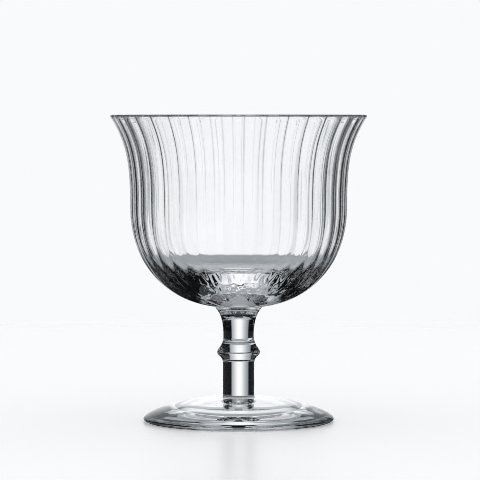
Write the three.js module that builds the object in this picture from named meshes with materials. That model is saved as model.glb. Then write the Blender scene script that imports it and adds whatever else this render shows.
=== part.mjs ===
// A ribbed coupe glass on a short ringed stem, hot-joined from three gathers of clear crystal:
// the blown bowl, the drawn stem with its ring, and the spun foot.
// Millimetres, +Z up. The origin is the centre of the foot's standing plane.

import * as THREE from "three";

// Heights, stacked from the table up
const FOOT_HEIGHT = 9.1;
const STEM_LENGTH = 34.15;
const BOWL_HEIGHT = 72.4;

// Foot
const FOOT_RADIUS = 36.0;
const FOOT_EDGE_HEIGHT = 1.1;
const FOOT_EDGE_REACH = 2.0;
const FOOT_CROWN_FLAT = 14.5;
const FOOT_EDGE_SWELL = 2.4;
const FOOT_CONTACT_WIDTH = 11.5;

// Recess under the foot
const RECESS_DEPTH = 3.0;
const RECESS_FLAT = 18.0;
const RECESS_WALL_REACH = 2.0;
const RECESS_LIP_HEIGHT = 1.0;

// Stem
const STEM_RADIUS = 5.95;
const STEM_NECK_RADIUS = 5.8;
const STEM_FOOT_RADIUS = 6.5;
const STEM_FOOT_FILLET = 0.9;
const STEM_TOP_RADIUS = 9.0;
const STEM_FLARE_DROP = 5.5;
const STEM_FLARE_REACH = 3.7;
const STEM_FLARE_ANGLE = THREE.MathUtils.degToRad(40);

// Ring on the stem
const RING_RADIUS = 8.1;
const RING_HEIGHT = 17.1;
const RING_ROUND = 1.6;
const RING_FILLET_BELOW = 4.5;
const RING_FILLET_ABOVE = 6.0;
const RING_TUCK_BELOW = 1.3;
const RING_TUCK_ABOVE = 2.4;

// Bowl, outside
const WAIST_RADIUS = 40.7;
const WAIST_HEIGHT = 37.8;
const BELLY_UNDER_REACH = 19.3;
const BELLY_UNDER_ANGLE = THREE.MathUtils.degToRad(6.8);
const BELLY_SIDE_REACH = 20.9;
const RIM_RADIUS = 48.1;
const FLARE_ANGLE = THREE.MathUtils.degToRad(31.9);
const FLARE_WAIST_REACH = 15.7;
const FLARE_RIM_REACH = 11.9;

// Bowl, inside
const LIP_THICKNESS = 1.3;
const WALL_THICKNESS = 1.4;
const BASE_THICKNESS = 8.0;
const FLOOR_REACH = 33.0;
const CORNER_REACH = 20.0;

// Optic ribs inside the bowl: low flat bands, as wide as the gaps between them
const RIB_COUNT = 36;
const RIB_TURN = THREE.MathUtils.degToRad(5);
const RIB_DEPTH = 0.15;
const RIB_FOOT_HEIGHT = 11.0;
const RIB_FULL_HEIGHT = 22.0;

// Soft flutes that the whole wall of the bowl follows, inside and out, as many as the ribs
const FLUTE_DEPTH = 0.35;
const FLUTE_FOOT_HEIGHT = 1.0;
const FLUTE_FULL_HEIGHT = 12.0;

// Facets round each rib, half of them on its crest and half in the gap beside it
const RIB_STEPS = 4;

// Facets round the other pieces, and along each stretch of a profile
const STEM_SIDES = 40;
const FOOT_SIDES = 72;
const TIGHT_STEPS = 3;
const MIDDLE_STEPS = 6;
const LONG_STEPS = 8;

// Two profile points closer than this are one
const POINT_TOLERANCE = 1e-6;

const crystal = new THREE.MeshStandardMaterial({
  name: "clear_crystal",
  color: 0xf4f7f9,
  roughness: 0.03,
  metalness: 0.0,
});

/** A profile point at a radius from the axis and a height above the piece's own base. */
function at(radius, height) {
  return new THREE.Vector2(radius, height);
}

/** The point that lies a length away from another, along an angle from the axis outwards. */
function along(from, length, angleFromAxis) {
  return at(from.x + length * Math.sin(angleFromAxis), from.y + length * Math.cos(angleFromAxis));
}

/** Points of a cubic curve from one point to another, drawn by two handles. */
function sweep(from, handleFrom, handleTo, to, steps) {
  return new THREE.CubicBezierCurve(from, handleFrom, handleTo, to).getPoints(steps);
}

/** Points of a circular arc about a centre. */
function arc(centre, radius, fromAngle, toAngle, steps) {
  const clockwise = toAngle < fromAngle;
  const curve = new THREE.EllipseCurve(
    centre.x, centre.y, radius, radius, fromAngle, toAngle, clockwise,
  );
  return curve.getPoints(steps);
}

/** One profile from stretches laid end to end, without the points that two stretches share. */
function chain(...stretches) {
  const points = [];
  for (const point of stretches.flat()) {
    const last = points.at(-1);
    if (!last || last.distanceTo(point) > POINT_TOLERANCE) points.push(point);
  }
  return points;
}

/** A solid of revolution about +Z from a profile that starts and ends on the axis. */
function turned(profile, sides) {
  return new THREE.LatheGeometry(profile, sides).rotateX(Math.PI / 2);
}

function glassMesh(name, geometry) {
  const mesh = new THREE.Mesh(geometry, crystal);
  mesh.name = name;
  return mesh;
}

// The foot: a low dome with a rounded edge, recessed underneath so that it stands on a ring.
function makeFoot() {
  const contactOuter = FOOT_RADIUS - FOOT_EDGE_REACH;
  const contactInner = contactOuter - FOOT_CONTACT_WIDTH;
  const edge = at(FOOT_RADIUS, FOOT_EDGE_HEIGHT);
  const seat = at(STEM_FOOT_RADIUS, FOOT_HEIGHT);
  const underside = sweep(
    at(0, RECESS_DEPTH),
    at(RECESS_FLAT, RECESS_DEPTH),
    at(contactInner - RECESS_WALL_REACH, RECESS_LIP_HEIGHT),
    at(contactInner, 0),
    MIDDLE_STEPS,
  );
  const lowerEdge = sweep(
    at(contactOuter, 0),
    at(contactOuter + FOOT_EDGE_REACH / 2, 0),
    at(FOOT_RADIUS, FOOT_EDGE_HEIGHT / 2),
    edge,
    TIGHT_STEPS,
  );
  const crown = sweep(
    edge,
    at(FOOT_RADIUS, FOOT_EDGE_HEIGHT + FOOT_EDGE_SWELL),
    at(STEM_FOOT_RADIUS + FOOT_CROWN_FLAT, FOOT_HEIGHT),
    seat,
    LONG_STEPS,
  );
  return turned(chain(underside, lowerEdge, crown, [at(0, FOOT_HEIGHT)]), FOOT_SIDES);
}

// The stem: a solid drawn rod with a small fillet on the foot, a ring part way up and a flared top.
function makeStem() {
  const foot = at(STEM_FOOT_RADIUS, 0);
  const shaft = at(STEM_RADIUS, STEM_FOOT_FILLET);
  const ringStart = at(STEM_RADIUS, RING_HEIGHT - RING_FILLET_BELOW);
  const ringCrest = at(RING_RADIUS, RING_HEIGHT);
  const neck = at(STEM_NECK_RADIUS, RING_HEIGHT + RING_FILLET_ABOVE);
  const top = at(STEM_TOP_RADIUS, STEM_LENGTH);
  const fillet = sweep(
    foot,
    at(STEM_RADIUS, 0),
    at(STEM_RADIUS, STEM_FOOT_FILLET / 2),
    shaft,
    TIGHT_STEPS,
  );
  const ringBelow = sweep(
    ringStart,
    at(STEM_RADIUS, RING_HEIGHT - RING_TUCK_BELOW),
    at(RING_RADIUS, RING_HEIGHT - RING_ROUND),
    ringCrest,
    MIDDLE_STEPS,
  );
  const ringAbove = sweep(
    ringCrest,
    at(RING_RADIUS, RING_HEIGHT + RING_ROUND),
    at(STEM_NECK_RADIUS, RING_HEIGHT + RING_TUCK_ABOVE),
    neck,
    MIDDLE_STEPS,
  );
  const flare = sweep(
    neck,
    at(STEM_NECK_RADIUS, STEM_LENGTH - STEM_FLARE_DROP),
    along(top, -STEM_FLARE_REACH, STEM_FLARE_ANGLE),
    top,
    MIDDLE_STEPS,
  );
  return turned(
    chain([at(0, 0)], fillet, ringBelow, ringAbove, flare, [at(0, STEM_LENGTH)]),
    STEM_SIDES,
  );
}

// The outside of the bowl, from the seat on the stem to the lip.
function bowlOutside(lipCentre) {
  const seat = at(STEM_TOP_RADIUS, 0);
  const waist = at(WAIST_RADIUS, WAIST_HEIGHT);
  const lip = along(lipCentre, LIP_THICKNESS / 2, FLARE_ANGLE + Math.PI / 2);
  const belly = sweep(
    seat,
    along(seat, BELLY_UNDER_REACH, Math.PI / 2 - BELLY_UNDER_ANGLE),
    at(WAIST_RADIUS, WAIST_HEIGHT - BELLY_SIDE_REACH),
    waist,
    LONG_STEPS,
  );
  const flare = sweep(
    waist,
    at(WAIST_RADIUS, WAIST_HEIGHT + FLARE_WAIST_REACH),
    along(lip, -FLARE_RIM_REACH, FLARE_ANGLE),
    lip,
    MIDDLE_STEPS,
  );
  return chain([at(0, 0)], belly, flare);
}

// The inside of the bowl, from the lip down to the middle of the thick floor.
function bowlInside(lipCentre) {
  const lip = along(lipCentre, LIP_THICKNESS / 2, FLARE_ANGLE - Math.PI / 2);
  const wallRadius = WAIST_RADIUS - WALL_THICKNESS;
  const waist = at(wallRadius, WAIST_HEIGHT);
  const flare = sweep(
    lip,
    along(lip, -FLARE_RIM_REACH, FLARE_ANGLE),
    at(wallRadius, WAIST_HEIGHT + FLARE_WAIST_REACH),
    waist,
    MIDDLE_STEPS,
  );
  const floor = sweep(
    waist,
    at(wallRadius, WAIST_HEIGHT - CORNER_REACH),
    at(FLOOR_REACH, BASE_THICKNESS),
    at(0, BASE_THICKNESS),
    LONG_STEPS,
  );
  return chain(flare, floor);
}

/** How far a rib's crest stands in from the wall at a height, fading away towards the floor. */
function ribDepth(height) {
  return RIB_DEPTH * THREE.MathUtils.smoothstep(height, RIB_FOOT_HEIGHT, RIB_FULL_HEIGHT);
}

/** How far a flute carries the wall outwards, at a height and an angle round the axis. */
function fluteReach(height, angle) {
  const depth = FLUTE_DEPTH * THREE.MathUtils.smoothstep(height, FLUTE_FOOT_HEIGHT, FLUTE_FULL_HEIGHT);
  return (depth / 2) * Math.cos(RIB_COUNT * angle);
}

// The bowl: a flared, softly fluted cup with a thick base, with vertical optic ribs inside its wall.
function makeBowl() {
  const lipRound = LIP_THICKNESS / 2;
  const lipCentre = at(RIM_RADIUS - lipRound, BOWL_HEIGHT - lipRound);
  const lip = arc(lipCentre, lipRound, -FLARE_ANGLE, Math.PI - FLARE_ANGLE, TIGHT_STEPS);
  const outside = bowlOutside(lipCentre);
  const profile = chain(outside, lip, bowlInside(lipCentre));
  const ribsFrom = outside.length + TIGHT_STEPS;
  const facet = (2 * Math.PI) / (RIB_COUNT * RIB_STEPS);
  const crestSteps = RIB_STEPS / 2;
  const firstSide = RIB_TURN - ((crestSteps - 1) / 2) * facet;
  const geometry = new THREE.LatheGeometry(profile, RIB_COUNT * RIB_STEPS, firstSide);
  const position = geometry.getAttribute("position");
  for (let index = 0; index < position.count; index++) {
    const side = Math.floor(index / profile.length);
    const step = index % profile.length;
    const { x: radius, y: height } = profile[step];
    if (radius === 0) continue;
    const onRib = step >= ribsFrom && side % RIB_STEPS < crestSteps;
    const inward = onRib ? ribDepth(height) : 0;
    const scale = (radius + fluteReach(height, firstSide + side * facet) - inward) / radius;
    position.setX(index, position.getX(index) * scale);
    position.setZ(index, position.getZ(index) * scale);
  }
  return geometry.rotateX(Math.PI / 2);
}

const glass = new THREE.Group();

const foot = glassMesh("foot", makeFoot());
glass.add(foot);

const stem = glassMesh("stem", makeStem());
stem.position.z = FOOT_HEIGHT;
glass.add(stem);

const bowl = glassMesh("bowl", makeBowl());
bowl.position.z = FOOT_HEIGHT + STEM_LENGTH;
glass.add(bowl);

export default glass;
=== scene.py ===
"""Looks of a ribbed coupe glass: fine meshes of clear glass, a pale studio and a camera."""

import math
from typing import NamedTuple

import bmesh
import bpy
import numpy as np
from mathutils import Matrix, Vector, noise


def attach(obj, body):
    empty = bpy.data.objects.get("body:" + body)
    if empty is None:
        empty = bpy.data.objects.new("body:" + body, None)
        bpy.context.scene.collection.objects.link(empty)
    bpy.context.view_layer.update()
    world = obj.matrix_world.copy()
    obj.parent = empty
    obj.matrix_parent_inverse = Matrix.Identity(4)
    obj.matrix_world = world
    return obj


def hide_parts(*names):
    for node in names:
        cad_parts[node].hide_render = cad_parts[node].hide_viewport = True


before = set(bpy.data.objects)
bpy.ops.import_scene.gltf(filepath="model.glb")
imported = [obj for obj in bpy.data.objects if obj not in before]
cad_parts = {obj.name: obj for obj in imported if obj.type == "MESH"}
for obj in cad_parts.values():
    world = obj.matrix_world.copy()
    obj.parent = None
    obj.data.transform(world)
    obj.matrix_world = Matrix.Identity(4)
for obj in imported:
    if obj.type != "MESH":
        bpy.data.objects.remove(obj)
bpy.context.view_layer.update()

# The glass is drawn in millimetres and its meshes are in metres
MM = 0.001

# Points, or heights, that are closer than this are the same one
SAME_PLACE = 1e-6

# Heights of the three pieces, stacked from the table up
FOOT_HEIGHT = 9.1
STEM_LENGTH = 34.15
BOWL_HEIGHT = 72.4
BOWL_BASE = FOOT_HEIGHT + STEM_LENGTH

# Foot
FOOT_RADIUS = 36.0
FOOT_EDGE_HEIGHT = 1.1
FOOT_EDGE_REACH = 2.0
FOOT_EDGE_SWELL = 2.4
FOOT_CROWN_FLAT = 14.5
FOOT_CONTACT_WIDTH = 11.5

# Recess under the foot
RECESS_DEPTH = 3.0
RECESS_FLAT = 18.0
RECESS_WALL_REACH = 2.0
RECESS_LIP_HEIGHT = 1.0

# Stem and its ring
STEM_RADIUS = 5.95
STEM_NECK_RADIUS = 5.8
STEM_FOOT_RADIUS = 6.5
STEM_FOOT_FILLET = 0.9
STEM_TOP_RADIUS = 9.0
STEM_FLARE_DROP = 5.5
STEM_FLARE_REACH = 3.7
STEM_FLARE_ANGLE = math.radians(40)
RING_RADIUS = 8.1
RING_HEIGHT = 17.1
RING_ROUND = 1.6
RING_FILLET_BELOW = 4.5
RING_FILLET_ABOVE = 6.0
RING_TUCK_BELOW = 1.3
RING_TUCK_ABOVE = 2.4

# Bowl, outside
WAIST_RADIUS = 40.7
WAIST_HEIGHT = 37.8
BELLY_UNDER_REACH = 19.3
BELLY_UNDER_ANGLE = math.radians(6.8)
BELLY_SIDE_REACH = 20.9
RIM_RADIUS = 48.1
FLARE_ANGLE = math.radians(31.9)
FLARE_WAIST_REACH = 15.7
FLARE_RIM_REACH = 11.9

# Bowl, inside
LIP_THICKNESS = 1.3
WALL_THICKNESS = 1.4
BASE_THICKNESS = 8.0
FLOOR_REACH = 33.0
CORNER_REACH = 20.0

# Optic ribs inside the bowl: bands as wide as the gaps between them, which grow from floor to rim
RIB_COUNT = 36
RIB_TURN = math.radians(5.0)
RIB_DEPTH = 0.15
RIB_FLANK = 0.7
RIB_FOOT_HEIGHT = 11.0
RIB_FULL_HEIGHT = 70.0
FLANKS_PER_RIB = 2

# Soft flutes that the whole wall of the bowl follows, one for each rib
FLUTE_DEPTH = 0.35
FLUTE_FOOT_HEIGHT = 5.0
FLUTE_FULL_HEIGHT = 20.0

# Hand-made unevenness of the bowl's thick floor
RIPPLE_DEPTH = 0.18
RIPPLE_LENGTH = 2.0
RIPPLE_TOP = 16.0

# Fineness of the meshes
RIB_STEPS = 18
RIB_CROWDING = 0.8
STEM_SIDES = 128
FOOT_SIDES = 256
SHORT_STEPS = 8
MIDDLE_STEPS = 24
LONG_STEPS = 44

# Material slots of every piece
GLASS_SLOT = 0
WELD_SLOT = 1


def at(radius, height):
    """A profile point at a radius from the axis and a height above the piece's own base."""
    return np.array((radius, height), float)


def along(start, length, angle):
    """The point that lies a length away from another, along an angle from the axis."""
    return start + length * np.array((math.sin(angle), math.cos(angle)))


def sweep(start, handle_start, handle_end, end, steps):
    """Points of a cubic curve from one point to another, drawn by two handles."""
    t = np.linspace(0.0, 1.0, steps + 1)[:, None]
    s = 1.0 - t
    return s**3 * start + 3 * s**2 * t * handle_start + 3 * s * t**2 * handle_end + t**3 * end


def chain(*stretches):
    """One profile from stretches laid end to end, without the points that two stretches share."""
    points = []
    for stretch in stretches:
        for point in stretch:
            if not points or np.hypot(*(point - points[-1])) > SAME_PLACE:
                points.append(np.asarray(point, float))
    return np.array(points)


def rise(value, low, high):
    """Smooth rise from 0 to 1 as a value goes from low to high."""
    share = np.clip((value - low) / (high - low), 0.0, 1.0)
    return share * share * (3.0 - 2.0 * share)


def add_object(name, data):
    """A new object in the scene."""
    made = bpy.data.objects.new(name, data)
    bpy.context.scene.collection.objects.link(made)
    return made


def turned_rows(profile, angles, base, shift):
    """Rows of vertices for a profile: one vertex on the axis, or else one at each angle."""
    still = np.zeros(len(angles))
    rows = []
    for step, (radius, height) in enumerate(profile):
        if radius < SAME_PLACE:
            rows.append(np.array([(0.0, 0.0, height + base)]))
            continue
        outward, upward = shift(step) if shift else (still, still)
        reach = radius + outward
        heights = height + base + upward
        rows.append(np.stack((reach * np.sin(angles), -reach * np.cos(angles), heights), axis=1))
    return rows


def turned(name, profile, angles, base, seams, shift=None):
    """A closed piece of revolution. shift(step) gives how far each vertex of a row moves out and up.

    seams are the heights of the welds: their flat faces take the weld's material.
    """
    rows = turned_rows(profile, angles, base, shift)
    first = np.cumsum([0] + [len(row) for row in rows])
    sides = len(angles)
    faces = []
    slots = []
    for step in range(len(profile) - 1):
        low, high = first[step], first[step + 1]
        height = profile[step][1]
        level = abs(height - profile[step + 1][1]) < SAME_PLACE
        weld = level and any(abs(height + base - seam) < SAME_PLACE for seam in seams)
        for side in range(sides):
            after = (side + 1) % sides
            if len(rows[step]) == 1:
                faces.append((low, high + after, high + side))
            elif len(rows[step + 1]) == 1:
                faces.append((low + side, low + after, high))
            else:
                faces.append((low + side, low + after, high + after, high + side))
            slots.append(WELD_SLOT if weld else GLASS_SLOT)
    mesh = bpy.data.meshes.new(name)
    mesh.from_pydata((np.vstack(rows) * MM).tolist(), [], faces)
    mesh.polygons.foreach_set("material_index", slots)
    mesh.polygons.foreach_set("use_smooth", [True] * len(faces))
    return add_object(name, mesh)


def even_angles(sides):
    """Angles round a plain piece, all the same step apart."""
    return np.arange(sides) * 2 * math.pi / sides


def rib_angles():
    """Angles round the bowl, crowded at the flanks of each rib so that they keep their shape."""
    share = np.arange(RIB_COUNT * RIB_STEPS) / RIB_STEPS
    wave = 2 * math.pi * FLANKS_PER_RIB
    crowded = share + RIB_CROWDING * np.sin(wave * share) / wave
    return RIB_TURN + crowded * 2 * math.pi / RIB_COUNT


def make_foot():
    """A low dome with a rounded edge, recessed underneath so that it stands on a ring."""
    contact_outer = FOOT_RADIUS - FOOT_EDGE_REACH
    contact_inner = contact_outer - FOOT_CONTACT_WIDTH
    edge = at(FOOT_RADIUS, FOOT_EDGE_HEIGHT)
    seat = at(STEM_FOOT_RADIUS, FOOT_HEIGHT)
    underside = sweep(
        at(0, RECESS_DEPTH),
        at(RECESS_FLAT, RECESS_DEPTH),
        at(contact_inner - RECESS_WALL_REACH, RECESS_LIP_HEIGHT),
        at(contact_inner, 0),
        LONG_STEPS,
    )
    lower_edge = sweep(
        at(contact_outer, 0),
        at(contact_outer + FOOT_EDGE_REACH / 2, 0),
        at(FOOT_RADIUS, FOOT_EDGE_HEIGHT / 2),
        edge,
        SHORT_STEPS,
    )
    crown = sweep(
        edge,
        at(FOOT_RADIUS, FOOT_EDGE_HEIGHT + FOOT_EDGE_SWELL),
        at(STEM_FOOT_RADIUS + FOOT_CROWN_FLAT, FOOT_HEIGHT),
        seat,
        LONG_STEPS,
    )
    profile = chain(underside, lower_edge, crown, [at(0, FOOT_HEIGHT)])
    return turned("foot_glass", profile, even_angles(FOOT_SIDES), 0.0, [FOOT_HEIGHT])


def make_stem():
    """A solid drawn rod with a small fillet on the foot, a ring part way up and a flared top."""
    shaft = at(STEM_RADIUS, STEM_FOOT_FILLET)
    ring_start = at(STEM_RADIUS, RING_HEIGHT - RING_FILLET_BELOW)
    ring_crest = at(RING_RADIUS, RING_HEIGHT)
    neck = at(STEM_NECK_RADIUS, RING_HEIGHT + RING_FILLET_ABOVE)
    top = at(STEM_TOP_RADIUS, STEM_LENGTH)
    fillet = sweep(
        at(STEM_FOOT_RADIUS, 0),
        at(STEM_RADIUS, 0),
        at(STEM_RADIUS, STEM_FOOT_FILLET / 2),
        shaft,
        SHORT_STEPS,
    )
    ring_below = sweep(
        ring_start,
        at(STEM_RADIUS, RING_HEIGHT - RING_TUCK_BELOW),
        at(RING_RADIUS, RING_HEIGHT - RING_ROUND),
        ring_crest,
        MIDDLE_STEPS,
    )
    ring_above = sweep(
        ring_crest,
        at(RING_RADIUS, RING_HEIGHT + RING_ROUND),
        at(STEM_NECK_RADIUS, RING_HEIGHT + RING_TUCK_ABOVE),
        neck,
        MIDDLE_STEPS,
    )
    flare = sweep(
        neck,
        at(STEM_NECK_RADIUS, STEM_LENGTH - STEM_FLARE_DROP),
        along(top, -STEM_FLARE_REACH, STEM_FLARE_ANGLE),
        top,
        MIDDLE_STEPS,
    )
    profile = chain([at(0, 0)], fillet, ring_below, ring_above, flare, [at(0, STEM_LENGTH)])
    seams = [FOOT_HEIGHT, BOWL_BASE]
    return turned("stem_glass", profile, even_angles(STEM_SIDES), FOOT_HEIGHT, seams)


def bowl_outside(lip_centre):
    """The outside of the bowl, from the middle of its seat on the stem to the lip."""
    seat = at(STEM_TOP_RADIUS, 0)
    waist = at(WAIST_RADIUS, WAIST_HEIGHT)
    lip = along(lip_centre, LIP_THICKNESS / 2, FLARE_ANGLE + math.pi / 2)
    belly = sweep(
        seat,
        along(seat, BELLY_UNDER_REACH, math.pi / 2 - BELLY_UNDER_ANGLE),
        at(WAIST_RADIUS, WAIST_HEIGHT - BELLY_SIDE_REACH),
        waist,
        LONG_STEPS,
    )
    flare = sweep(
        waist,
        at(WAIST_RADIUS, WAIST_HEIGHT + FLARE_WAIST_REACH),
        along(lip, -FLARE_RIM_REACH, FLARE_ANGLE),
        lip,
        MIDDLE_STEPS,
    )
    return chain([at(0, 0)], belly, flare)


def bowl_inside(lip_centre):
    """The inside of the bowl, from the lip down to the middle of the thick floor."""
    lip = along(lip_centre, LIP_THICKNESS / 2, FLARE_ANGLE - math.pi / 2)
    wall_radius = WAIST_RADIUS - WALL_THICKNESS
    waist = at(wall_radius, WAIST_HEIGHT)
    flare = sweep(
        lip,
        along(lip, -FLARE_RIM_REACH, FLARE_ANGLE),
        at(wall_radius, WAIST_HEIGHT + FLARE_WAIST_REACH),
        waist,
        MIDDLE_STEPS,
    )
    floor = sweep(
        waist,
        at(wall_radius, WAIST_HEIGHT - CORNER_REACH),
        at(FLOOR_REACH, BASE_THICKNESS),
        at(0, BASE_THICKNESS),
        LONG_STEPS,
    )
    return chain(flare, floor)


def rib_depths(angles, radius, height):
    """How far the ribs stand in from the wall at each angle of one row."""
    depth = RIB_DEPTH * rise(height, RIB_FOOT_HEIGHT, RIB_FULL_HEIGHT)
    pitch = 2 * math.pi / RIB_COUNT
    half = pitch * radius / 4
    from_crest = np.abs((angles - RIB_TURN + pitch / 2) % pitch - pitch / 2) * radius
    return depth * (1.0 - rise(from_crest, half - RIB_FLANK / 2, half + RIB_FLANK / 2))


def flute_waves(angles, height):
    """How far the flutes carry the wall outwards at each angle of one row."""
    depth = FLUTE_DEPTH * rise(height, FLUTE_FOOT_HEIGHT, FLUTE_FULL_HEIGHT)
    return depth / 2 * np.cos(RIB_COUNT * angles)


def ripples(angles, radius, height):
    """How far the bowl's uneven floor stands up at each angle of one row."""
    heights = []
    for angle in angles:
        point = Vector((radius * math.sin(angle), -radius * math.cos(angle), height))
        heights.append(noise.noise(point / RIPPLE_LENGTH))
    return RIPPLE_DEPTH * np.array(heights)


def make_bowl():
    """A flared, fluted cup with a thick base, whose inside wall carries upright optic ribs."""
    lip_round = LIP_THICKNESS / 2
    lip_centre = at(RIM_RADIUS - lip_round, BOWL_HEIGHT - lip_round)
    turns = np.linspace(-FLARE_ANGLE, math.pi - FLARE_ANGLE, SHORT_STEPS + 1)
    lip = lip_centre + lip_round * np.stack((np.cos(turns), np.sin(turns)), axis=1)
    outside = bowl_outside(lip_centre)
    profile = chain(outside, lip, bowl_inside(lip_centre))
    inside_from = len(outside) + len(lip) - 1
    angles = rib_angles()

    def shift(step):
        radius, height = profile[step]
        within = rise(step, len(outside) - 1, inside_from)
        rough = within * (1.0 - rise(height, BASE_THICKNESS, RIPPLE_TOP))
        outward = flute_waves(angles, height) - within * rib_depths(angles, radius, height)
        return outward, rough * ripples(angles, radius, height)

    return turned("bowl_glass", profile, angles, BOWL_BASE, [BOWL_BASE], shift)


class Nodes:
    """Short calls for building a node tree."""

    def __init__(self, tree):
        self.tree = tree

    def add(self, kind, **settings):
        """A new node with the settings given."""
        node = self.tree.nodes.new(kind)
        for name, value in settings.items():
            setattr(node, name, value)
        return node

    def link(self, value, socket):
        """Feeds a socket from another one, or sets a plain value on it."""
        if isinstance(value, bpy.types.NodeSocket):
            self.tree.links.new(value, socket)
        else:
            socket.default_value = value

    def math(self, operation, *values):
        """The result of one operation on plain values or sockets."""
        node = self.add("ShaderNodeMath", operation=operation)
        for value, socket in zip(values, node.inputs):
            self.link(value, socket)
        return node.outputs[0]

    def step_up(self, value, low, high):
        """Smooth rise from 0 to 1 as a value goes from low to high."""
        node = self.add("ShaderNodeMapRange", interpolation_type="SMOOTHSTEP")
        self.link(value, node.inputs["Value"])
        self.link(low, node.inputs["From Min"])
        self.link(high, node.inputs["From Max"])
        return node.outputs["Result"]

    def band(self, value, low, high, soft):
        """1 between low and high, 0 outside, with soft edges."""
        enters = self.step_up(value, low - soft, low + soft)
        leaves = self.step_up(value, high - soft, high + soft)
        return self.math("SUBTRACT", enters, leaves)

    def ramp(self, value, stops):
        """A colour that runs through the stops as a value goes from 0 to 1."""
        node = self.add("ShaderNodeValToRGB")
        self.link(value, node.inputs["Fac"])
        elements = node.color_ramp.elements
        while len(elements) < len(stops):
            elements.new(1.0)
        for element, (position, colour) in zip(elements, stops):
            element.position = position
            element.color = colour
        return node.outputs["Color"]

    def mix_shaders(self, share, first, second):
        """The first shader where the share is 0 and the second where it is 1."""
        node = self.add("ShaderNodeMixShader")
        self.link(share, node.inputs[0])
        self.link(first, node.inputs[1])
        self.link(second, node.inputs[2])
        return node.outputs[0]


# Glass: clear crystal with a faint cool tint. Its striae are measured in metres.
GLASS_TINT = (0.995, 0.997, 1.0, 1.0)
GLASS_IOR = 1.54
GLASS_ROUGHNESS = 0.0
GLASS_TRANSMISSION = 1.0
STRIAE_SCALE = 90.0
STRIAE_DEPTH = 0.00001
SHARP_ANGLE = math.radians(40)


def make_crystal():
    """Clear glass whose surface has the faint waviness of hand work."""
    material = bpy.data.materials.new("clear_crystal_look")
    material.use_nodes = True
    nodes = Nodes(material.node_tree)
    shader = material.node_tree.nodes["Principled BSDF"]
    shader.inputs["Base Color"].default_value = GLASS_TINT
    shader.inputs["Roughness"].default_value = GLASS_ROUGHNESS
    shader.inputs["IOR"].default_value = GLASS_IOR
    shader.inputs["Transmission Weight"].default_value = GLASS_TRANSMISSION
    where = nodes.add("ShaderNodeTexCoord")
    striae = nodes.add("ShaderNodeTexNoise")
    nodes.link(where.outputs["Object"], striae.inputs["Vector"])
    nodes.link(STRIAE_SCALE, striae.inputs["Scale"])
    bump = nodes.add("ShaderNodeBump")
    nodes.link(striae.outputs["Fac"], bump.inputs["Height"])
    nodes.link(STRIAE_DEPTH, bump.inputs["Distance"])
    nodes.link(bump.outputs["Normal"], shader.inputs["Normal"])
    return material


def make_weld():
    """The welded faces between two pieces: light passes as if they were not there."""
    material = bpy.data.materials.new("weld_seam")
    material.use_nodes = True
    material.node_tree.nodes.clear()
    nodes = Nodes(material.node_tree)
    output = nodes.add("ShaderNodeOutputMaterial")
    nodes.link(nodes.add("ShaderNodeBsdfTransparent").outputs[0], output.inputs["Surface"])
    return material


def mark_sharp_edges(piece):
    """Keeps the shading crisp round the welds and at true corners."""
    shape = bmesh.new()
    shape.from_mesh(piece.data)
    for edge in shape.edges:
        faces = edge.link_faces
        at_weld = faces[0].material_index != faces[1].material_index
        if at_weld or edge.calc_face_angle() > SHARP_ANGLE:
            edge.smooth = False
    shape.to_mesh(piece.data)
    shape.free()


# Studio, in degrees. Azimuth 0 is straight behind the glass in the photo and grows to the right.
HALF_TURN = 180.0
EDGE_SOFTNESS = 2.0
WHITE = (1.0, 1.0, 1.0, 1.0)
PALE = (0.947, 0.956, 0.973, 1.0)
DARK_TINT = (0.78, 0.88, 1.0, 1.0)
GREY_TINT = (0.88, 0.945, 1.0, 1.0)
BRIGHT_TINT = (0.97, 0.98, 1.0, 1.0)
DARK_LEVEL = 0.005
GREY_LEVEL = 0.35
BRIGHT_LEVEL = 1.0

# A ray counts its bounces in whole numbers, so half of one tells none from some
HALF_BOUNCE = 0.5


class Card(NamedTuple):
    """One lit part of the studio, which only the glass sees.

    It reaches from left to right of its centre and from low to high. With dimming, it falls to half
    its level that far from its centre. A through card shows only to light that passes through the
    glass, and a straight card only to such light that the glass hasn't reflected on its way.
    """

    centre: float
    left: float
    right: float
    low: float
    high: float
    level: float
    dimming: float = 0.0
    through: bool = False
    straight: bool = False


BACKDROP = Card(centre=-1.5, left=-27.5, right=20.5, low=-14, high=20, level=1.12, dimming=16)
BACKDROP_TOP = Card(centre=0, left=-32, right=32, low=20, high=32, level=0.55)
OVERHEAD_LEFT = Card(centre=-30, left=-17, right=17, low=30, high=75, level=0.6)
OVERHEAD_RIGHT = Card(centre=30, left=-17, right=17, low=30, high=75, level=0.5)
FRONT_FILL = Card(centre=180, left=-35, right=35, low=-32, high=6, level=0.2)
BELOW = Card(centre=0, left=-185, right=185, low=-95, high=-32, level=0.38, through=True)
BACKDROP_LOW = Card(centre=-5, left=-26, right=26, low=-32, high=-14, level=0.42, through=True)
SIDE_BACKDROP = Card(centre=-90, left=-16, right=16, low=-14, high=12, level=1.0, straight=True)
SIDE_TOP = Card(centre=-90, left=-25, right=25, low=12, high=40, level=0.5, through=True)
SIDE_LOW = Card(centre=-90, left=-26, right=26, low=-32, high=-14, level=0.4, straight=True)
LEFT_LOW = Card(centre=-45, left=-14, right=14, low=-36, high=-14, level=0.8, straight=True)
FRONT_LOW = Card(centre=135, left=-20, right=20, low=-30, high=0, level=0.9, straight=True)
FRONT_TOP = Card(centre=135, left=-25, right=25, low=8, high=40, level=0.5, through=True)
BELOW_STRAIGHT = Card(centre=0, left=-185, right=185, low=-95, high=-36, level=0.5, straight=True)
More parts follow.
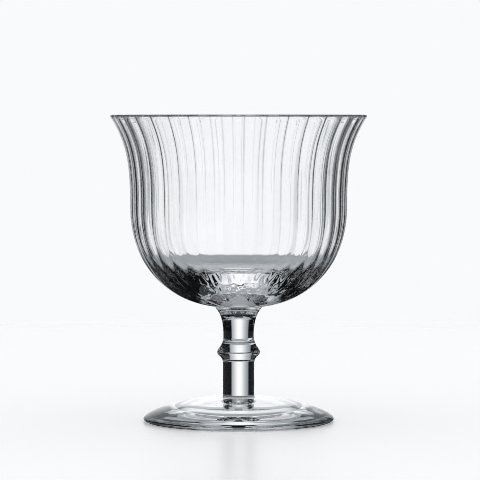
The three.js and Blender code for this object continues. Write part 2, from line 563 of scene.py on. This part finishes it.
CARDS = (
    BACKDROP, BACKDROP_TOP, OVERHEAD_LEFT, OVERHEAD_RIGHT, FRONT_FILL, BELOW, BACKDROP_LOW,
    SIDE_BACKDROP, SIDE_TOP, SIDE_LOW, LEFT_LOW, FRONT_LOW, FRONT_TOP, BELOW_STRAIGHT,
)


def studio_level(nodes, path):
    """Brightness of the studio in each direction, as clear glass sees it."""
    where = nodes.add("ShaderNodeTexCoord")
    split = nodes.add("ShaderNodeSeparateXYZ")
    nodes.link(where.outputs["Generated"], split.inputs[0])
    azimuth = nodes.math("DEGREES", nodes.math("ARCTAN2", split.outputs["X"], split.outputs["Y"]))
    elevation = nodes.math("DEGREES", nodes.math("ARCSINE", split.outputs["Z"]))
    unreflected = nodes.math("LESS_THAN", path.outputs["Glossy Depth"], HALF_BOUNCE)
    level = DARK_LEVEL
    for card in CARDS:
        aside = nodes.math("SUBTRACT", azimuth, card.centre)
        aside = nodes.math("WRAP", aside, HALF_TURN, -HALF_TURN)
        share = nodes.math(
            "MULTIPLY",
            nodes.band(aside, card.left, card.right, EDGE_SOFTNESS),
            nodes.band(elevation, card.low, card.high, EDGE_SOFTNESS),
        )
        if card.dimming:
            away = nodes.math("DIVIDE", aside, card.dimming)
            share = nodes.math("DIVIDE", share, nodes.math("MULTIPLY_ADD", away, away, 1.0))
        if card.through or card.straight:
            share = nodes.math("MULTIPLY", share, path.outputs["Is Transmission Ray"])
        if card.straight:
            share = nodes.math("MULTIPLY", share, unreflected)
        level = nodes.math("MULTIPLY_ADD", share, card.level, level)
    return level


def not_scattered(nodes, path):
    """1 for a ray that no dull surface has sent on."""
    return nodes.math("LESS_THAN", path.outputs["Diffuse Depth"], HALF_BOUNCE)


def seen_by_glass(nodes, path):
    """1 for a ray that clear glass sends on, unless the table's own light is being gathered."""
    mirrored = path.outputs["Is Glossy Ray"]
    glassy = nodes.math("MAXIMUM", mirrored, path.outputs["Is Transmission Ray"])
    sharp = nodes.math("MULTIPLY", glassy, path.outputs["Is Singular Ray"])
    return nodes.math("MULTIPLY", sharp, not_scattered(nodes, path))


def make_world():
    """A plain pale room, with white light on the table. Glass sees cards between dark sides."""
    world = bpy.data.worlds.new("studio")
    bpy.context.scene.world = world
    world.use_nodes = True
    world.node_tree.nodes.clear()
    nodes = Nodes(world.node_tree)
    path = nodes.add("ShaderNodeLightPath")
    cards = nodes.add("ShaderNodeBackground")
    level = studio_level(nodes, path)
    tints = ((0.0, DARK_TINT), (GREY_LEVEL, GREY_TINT), (BRIGHT_LEVEL, BRIGHT_TINT))
    nodes.link(nodes.ramp(level, tints), cards.inputs["Color"])
    nodes.link(level, cards.inputs["Strength"])
    white = nodes.add("ShaderNodeBackground")
    white.inputs["Color"].default_value = WHITE
    pale = nodes.add("ShaderNodeBackground")
    pale.inputs["Color"].default_value = PALE
    shown = nodes.math("MAXIMUM", path.outputs["Is Camera Ray"], path.outputs["Is Glossy Ray"])
    room = nodes.mix_shaders(shown, white.outputs[0], pale.outputs[0])
    everything = nodes.mix_shaders(seen_by_glass(nodes, path), room, cards.outputs[0])
    nodes.link(everything, nodes.add("ShaderNodeOutputWorld").inputs["Surface"])


# Table that the glass stands on, in metres
TABLE_HALF_SIDE = 6.0
TABLE_GAP = 0.00002
TABLE_ROUGHNESS = 0.3
TABLE_COLOUR = (0.98, 0.987, 1.0, 1.0)
# Painted shade: the table's colour where the glass shows it after a reflection, darker in place of
# the glass's own shadow on the table
TABLE_PAINTED_SHADE_COLOUR = (0.5, 0.52, 0.56, 1.0)

# Distances from the middle of the foot where the table stops showing through the glass, and fades
THROUGH_NEAR = 0.06
THROUGH_FAR = 0.11
FADE_NEAR = 0.25
FADE_FAR = 0.6


def table_colour_and_painted_shade(nodes, path):
    """Pale, with painted shade: darker to light that the glass reflects before letting it out."""
    reflected = nodes.math("GREATER_THAN", path.outputs["Glossy Depth"], HALF_BOUNCE)
    # Painted shade, standing in for the glass's own shadow on the table, for light that the glass
    # reflects and then lets through
    painted_shade_share = nodes.math("MULTIPLY", path.outputs["Is Transmission Ray"], reflected)
    return nodes.ramp(painted_shade_share, ((0.0, TABLE_COLOUR), (1.0, TABLE_PAINTED_SHADE_COLOUR)))


def table_absent(nodes, path):
    """1 where the studio or the room shows in place of the table.

    The table isn't mirrored in the glass, shows through it only close by, and fades from the
    camera's sight far away.
    """
    place = nodes.add("ShaderNodeNewGeometry")
    length = nodes.add("ShaderNodeVectorMath", operation="LENGTH")
    nodes.link(place.outputs["Position"], length.inputs[0])
    distance = length.outputs["Value"]
    singular = path.outputs["Is Singular Ray"]
    mirrored = nodes.math("MULTIPLY", path.outputs["Is Glossy Ray"], singular)
    through = nodes.math("MULTIPLY", path.outputs["Is Transmission Ray"], singular)
    beyond = nodes.math("MULTIPLY", through, nodes.step_up(distance, THROUGH_NEAR, THROUGH_FAR))
    far = nodes.step_up(distance, FADE_NEAR, FADE_FAR)
    faded = nodes.math("MULTIPLY", far, path.outputs["Is Camera Ray"])
    absent = nodes.math("MAXIMUM", nodes.math("MAXIMUM", mirrored, beyond), faded)
    return nodes.math("MULTIPLY", absent, not_scattered(nodes, path))


def make_table():
    """A pale, softly glossy table just under the glass."""
    signs = ((-1, -1), (1, -1), (1, 1), (-1, 1))
    corners = [(TABLE_HALF_SIDE * x, TABLE_HALF_SIDE * y, -TABLE_GAP) for x, y in signs]
    mesh = bpy.data.meshes.new("floor")
    mesh.from_pydata(corners, [], [(0, 1, 2, 3)])
    material = bpy.data.materials.new("pale_table")
    material.use_nodes = True
    nodes = Nodes(material.node_tree)
    path = nodes.add("ShaderNodeLightPath")
    shader = material.node_tree.nodes["Principled BSDF"]
    shader.inputs["Roughness"].default_value = TABLE_ROUGHNESS
    # The table's base colour carries painted shade where the glass sees it after a reflection
    nodes.link(table_colour_and_painted_shade(nodes, path), shader.inputs["Base Color"])
    clear = nodes.add("ShaderNodeBsdfTransparent")
    surface = nodes.mix_shaders(table_absent(nodes, path), shader.outputs[0], clear.outputs[0])
    nodes.link(surface, material.node_tree.nodes["Material Output"].inputs["Surface"])
    mesh.materials.append(material)
    floor = add_object("floor", mesh)


# Camera: a long lens, level with the rim and tilted slightly down. Places are in metres.
CAMERA_PLACE = (0.00053, -1.05, 0.115)
CAMERA_TILT = math.radians(2.5378)
CAMERA_LENS = 209.325
CAMERA_REACH = 50.0
SENSOR_WIDTH = 36.0


def make_camera():
    """A camera like the one of the photo, fitted to the outline of the glass."""
    camera = bpy.data.cameras.new("camera")
    camera.sensor_width = SENSOR_WIDTH
    camera.lens = CAMERA_LENS
    camera.clip_end = CAMERA_REACH
    holder = add_object("camera", camera)
    holder.location = CAMERA_PLACE
    holder.rotation_euler = (math.pi / 2 - CAMERA_TILT, 0.0, 0.0)
    bpy.context.scene.camera = holder


# Light is followed far enough to leave the rounded lip, where it bounces many times
LIGHT_BOUNCES = 48
PIXEL_FILTER = 0.8


def set_view():
    """Plain view settings, a crisp pixel filter and enough bounces for thick glass."""
    scene = bpy.context.scene
    scene.view_settings.view_transform = "Standard"
    scene.cycles.filter_width = PIXEL_FILTER
    scene.cycles.max_bounces = LIGHT_BOUNCES
    scene.cycles.transmission_bounces = LIGHT_BOUNCES
    scene.cycles.glossy_bounces = LIGHT_BOUNCES
    scene.cycles.transparent_max_bounces = LIGHT_BOUNCES


crystal = make_crystal()
weld = make_weld()
for piece, node in ((make_bowl(), "bowl"), (make_stem(), "stem"), (make_foot(), "foot")):
    piece.data.materials.append(crystal)
    piece.data.materials.append(weld)
    mark_sharp_edges(piece)
    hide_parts(node)
    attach(piece, "root")

make_world()
make_table()
make_camera()
set_view()
